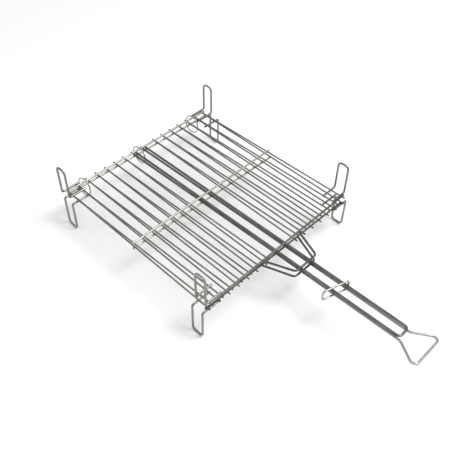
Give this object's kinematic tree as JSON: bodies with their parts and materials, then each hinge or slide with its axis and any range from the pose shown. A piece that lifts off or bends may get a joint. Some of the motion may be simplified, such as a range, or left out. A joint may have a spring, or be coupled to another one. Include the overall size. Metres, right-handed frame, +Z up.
{
  "type": "grill basket",
  "caption": "Double wire grill basket on wire feet: hinged wire grates with long handles and a sliding locking ring.",
  "frame": {"origin": "On the floor, at the bottom centre of the closed basket's bounding box.", "axes": "+X along the rods from the hinge edge towards the handles, +Y across the rods, +Z up."},
  "size_m": [0.6936, 0.3808, 0.1447],
  "materials": {
    "rods": "bright drawn wire, nickel plated, slightly dulled",
    "cross_bars": "bright drawn wire, nickel plated",
    "handles": "bright drawn wire, nickel plated",
    "legs": "bright drawn wire, nickel plated",
    "braces": "bright drawn wire, nickel plated",
    "loose_rings": "bright drawn wire, nickel plated"
  },
  "bodies": {
    "lower_half": {"long_handle": "handles", "lower_back_bar": "cross_bars", "lower_brace": "braces", "lower_front_bar": "cross_bars", "lower_leg_back_far": "legs", "lower_leg_back_near": "legs", "lower_leg_front_far": "legs", "lower_leg_front_near": "legs", "lower_middle_bar": "cross_bars", "lower_rod_01": "rods", "lower_rod_02": "rods", "lower_rod_03": "rods", "lower_rod_04": "rods", "lower_rod_05": "rods", "lower_rod_06": "rods", "lower_rod_07": "rods", "lower_rod_08": "rods", "lower_rod_09": "rods", "lower_rod_10": "rods", "lower_rod_11": "rods", "lower_rod_12": "rods", "lower_rod_13": "rods", "lower_rod_14": "rods"},
    "upper_half": {"short_handle": "handles", "upper_back_bar": "cross_bars", "upper_brace": "braces", "upper_front_bar": "cross_bars", "upper_leg_back_far": "legs", "upper_leg_back_near": "legs", "upper_leg_front_far": "legs", "upper_leg_front_near": "legs", "upper_middle_bar": "cross_bars", "upper_rod_01": "rods", "upper_rod_02": "rods", "upper_rod_03": "rods", "upper_rod_04": "rods", "upper_rod_05": "rods", "upper_rod_06": "rods", "upper_rod_07": "rods", "upper_rod_08": "rods", "upper_rod_09": "rods", "upper_rod_10": "rods", "upper_rod_11": "rods", "upper_rod_12": "rods", "upper_rod_13": "rods", "upper_rod_14": "rods"},
    "hinge_rings": {"hinge_ring_centre": "loose_rings", "hinge_ring_far": "loose_rings", "hinge_ring_near": "loose_rings"},
    "locking_ring": {"locking_ring": "loose_rings"}
  },
  "joints": [
    {"name": "lid_hinge", "type": "hinge", "parent": "lower_half", "child": "upper_half", "pos_m": [-0.34149, -0.00047, 0.07045], "axis": [0.0093, -1, 0], "range_deg": [0, 178]},
    {"name": "ring_swing", "type": "hinge", "parent": "lower_half", "child": "hinge_rings", "pos_m": [-0.33404, -0.00047, 0.06766], "axis": [0.0093, -1, 0], "range_deg": [0, 226.07]},
    {"name": "lock_slide", "type": "slide", "parent": "lower_half", "child": "locking_ring", "axis": [0.9977, 0.0658, 0.0179], "range_m": [0, 0.137]}
  ],
  "couplings": [
    {"joint": "ring_swing", "follows": "lid_hinge", "ratio": 1.27}
  ]
}
